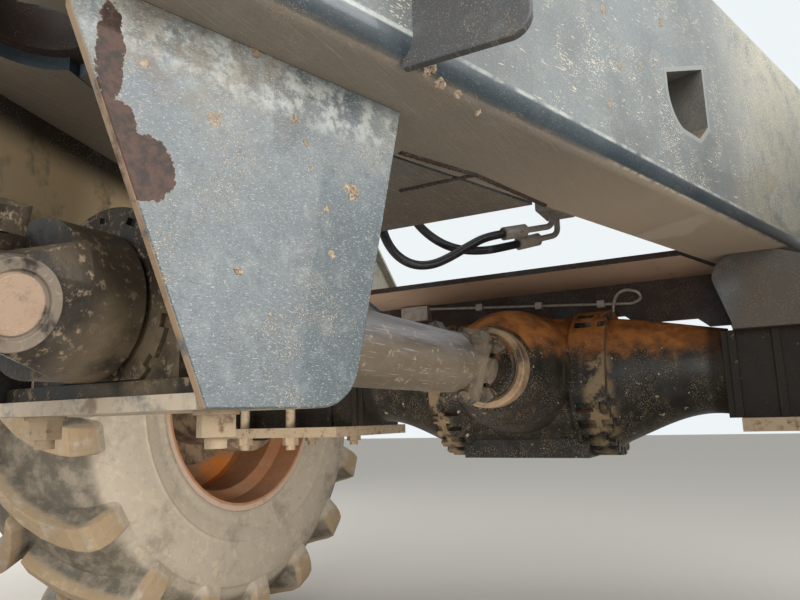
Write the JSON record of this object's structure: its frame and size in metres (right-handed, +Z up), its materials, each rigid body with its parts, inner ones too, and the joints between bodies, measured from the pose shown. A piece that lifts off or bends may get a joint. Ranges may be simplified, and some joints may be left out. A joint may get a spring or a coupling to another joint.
{
  "type": "front underframe of an articulated site dumper",
  "caption": "Rolling front underframe of an articulated site dumper: splayed channel frame, drive axle, propeller shaft with centre bearing, lugged wheels and hoses.",
  "frame": {"origin": "on the king-pin axis, half-way between the two lugs of the articulation", "axes": "+X forwards to the axle and the skip, +Y to the machine's left, +Z up along the king pin"},
  "size_m": [1.804, 2.2042, 1.0739],
  "materials": {
    "frame_paint": "dark blue-grey paint, scratched, with mud splashes and rust at the edges",
    "axle_iron": "dark painted castings under dried mud and ochre dust",
    "rim_paint": "orange paint under brown dust",
    "tyre_rubber": "worn rubber coated with dried mud",
    "shaft_steel": "bare steel under dry mud",
    "hose_rubber": "matt black",
    "plated_steel": "plated fittings and fasteners, dusty and lightly rusted"
  },
  "bodies": {
    "frame": {"rail_left": "frame_paint", "rail_right": "frame_paint", "window_liners": "frame_paint", "king_lug_lower": "frame_paint", "king_lug_upper": "frame_paint", "lug_bulkhead": "frame_paint", "tail_plate_lower": "frame_paint", "tail_plate_upper": "frame_paint", "front_bulkhead": "frame_paint", "axle_beam": "frame_paint", "saddle_left": "frame_paint", "saddle_right": "frame_paint", "clamp_plates": "frame_paint", "clamp_studs": "plated_steel", "ram_beam": "frame_paint", "ram_ears": "frame_paint", "front_cross_tube": "frame_paint", "skip_pivot_bosses": "frame_paint", "steering_ears": "frame_paint", "cradle_side_left": "frame_paint", "cradle_side_right": "frame_paint", "cradle_floor": "frame_paint", "floor_bolts": "plated_steel", "step_brackets": "frame_paint", "bearing_housing": "axle_iron", "bearing_ring": "shaft_steel", "axle_centre": "axle_iron", "pinion_ring": "axle_iron", "axle_arm_left": "axle_iron", "axle_arm_right": "axle_iron", "hose_a": "hose_rubber", "hose_b": "hose_rubber", "hose_ends": "plated_steel", "port_block": "plated_steel", "brake_pipe": "plated_steel", "brake_junction": "plated_steel", "pipe_clips": "plated_steel"},
    "shaft": {"input_sleeve": "shaft_steel", "rear_cross": "shaft_steel", "rear_caps": "shaft_steel", "stub_yoke": "shaft_steel", "shaft_tube": "shaft_steel", "tube_yoke": "shaft_steel", "front_cross": "shaft_steel", "front_caps": "shaft_steel", "wing_bolts": "shaft_steel", "pinion_flange": "shaft_steel"},
    "wheel_left": {"hub_left": "axle_iron", "rim_left": "rim_paint", "wheel_nuts_left": "plated_steel", "tyre_left": "tyre_rubber"},
    "wheel_right": {"hub_right": "axle_iron", "rim_right": "rim_paint", "wheel_nuts_right": "plated_steel", "tyre_right": "tyre_rubber"}
  },
  "joints": [
    {"name": "shaft_spin", "type": "hinge", "parent": "frame", "child": "shaft", "pos_m": [0, 0, -0.335], "axis": [1, 0, 0], "continuous": true},
    {"name": "wheel_left_spin", "type": "hinge", "parent": "frame", "child": "wheel_left", "pos_m": [1.045, 0.9, -0.357], "axis": [0, 1, 0], "continuous": true},
    {"name": "wheel_right_spin", "type": "hinge", "parent": "frame", "child": "wheel_right", "pos_m": [1.045, -0.9, -0.357], "axis": [0, 1, 0], "continuous": true}
  ]
}
